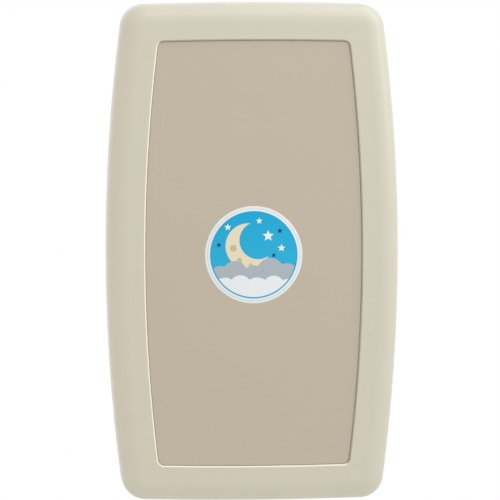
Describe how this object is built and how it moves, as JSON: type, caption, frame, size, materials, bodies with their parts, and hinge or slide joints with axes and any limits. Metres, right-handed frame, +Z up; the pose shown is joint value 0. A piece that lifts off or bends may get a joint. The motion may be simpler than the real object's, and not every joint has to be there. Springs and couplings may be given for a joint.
{
  "type": "folding baby changing station",
  "caption": "Wall-mounted folding changing station with a barrel-shaped moulded bed, taupe front panel, hinge, safety strap and liner dispenser.",
  "frame": {"origin": "centre of the wall bolt pattern, on the wall plane behind the closed unit", "axes": "+X to the right of the closed front, +Y into the wall, +Z up"},
  "size_m": [0.527, 0.133, 0.9],
  "materials": {
    "cream_plastic": "fine moulded grain",
    "taupe_plastic": "fine moulded grain",
    "zinc_steel": "zinc plated",
    "coated_steel": "powder coat",
    "bumper_rubber": "matte",
    "nylon": "smooth",
    "black_paint": "semi-gloss",
    "bright_rod": "polished",
    "webbing": "woven",
    "buckle_plastic": "moulded"
  },
  "bodies": {
    "wall_unit": {"base_shell": "cream_plastic", "hand_cup": "cream_plastic", "base_screws": "zinc_steel", "hook_screws": "zinc_steel", "hinge_arm_bolts": "zinc_steel", "mounting_upright_left": "coated_steel", "mounting_upright_right": "coated_steel", "mounting_crossbar_top": "coated_steel", "mounting_crossbar_bottom": "coated_steel", "mounting_hole_caps": "cream_plastic", "closing_bumpers": "bumper_rubber", "hinge_arm_left": "zinc_steel", "hinge_arm_right": "zinc_steel", "hinge_rod": "zinc_steel", "hinge_rod_rings": "zinc_steel", "cam_stud": "zinc_steel", "dispenser_tray": "taupe_plastic", "catch_magnet": "black_paint", "bag_hook_left": "taupe_plastic", "bag_hook_right": "taupe_plastic"},
    "bed": {"bed_shell": "cream_plastic", "front_panel": "taupe_plastic", "bed_pan": "cream_plastic", "hinge_cover": "cream_plastic", "bed_screws": "zinc_steel", "hinge_bracket_left": "zinc_steel", "hinge_bracket_right": "zinc_steel", "hinge_bushes": "nylon", "gas_cylinder": "black_paint", "cylinder_gland": "nylon", "cylinder_clamps": "nylon", "strap_left": "webbing", "strap_right": "webbing", "strap_anchors": "zinc_steel", "buckle_body": "buckle_plastic", "buckle_pin": "zinc_steel"},
    "gas_rod": {"gas_rod": "bright_rod", "rod_foot": "nylon"},
    "dispenser_door": {"dispenser_door": "taupe_plastic", "door_hinge_pins": "zinc_steel", "catch_strike": "zinc_steel"},
    "buckle_cam": {"buckle_cam": "buckle_plastic"}
  },
  "joints": [
    {"name": "bed_fold", "type": "hinge", "parent": "wall_unit", "child": "bed", "pos_m": [0, -0.06, -0.418], "axis": [1, 0, 0], "range_deg": [0, 90], "stiffness_Nm_per_rad": 4, "springref_deg": -114.59},
    {"name": "rod_slide", "type": "slide", "parent": "bed", "child": "gas_rod", "axis": [0, 0, 1], "range_m": [0, 0.027]},
    {"name": "door_tilt", "type": "hinge", "parent": "wall_unit", "child": "dispenser_door", "pos_m": [0, -0.0405, 0.1745], "axis": [1, 0, 0], "range_deg": [0, 20]},
    {"name": "buckle_lift", "type": "hinge", "parent": "bed", "child": "buckle_cam", "pos_m": [0.003, -0.078, -0.03], "axis": [0, 0, -1], "range_deg": [0, 55], "stiffness_Nm_per_rad": 0.05, "springref_deg": -28.65}
  ],
  "couplings": [
    {"joint": "rod_slide", "follows": "bed_fold", "m_per_rad": 0.016524}
  ]
}
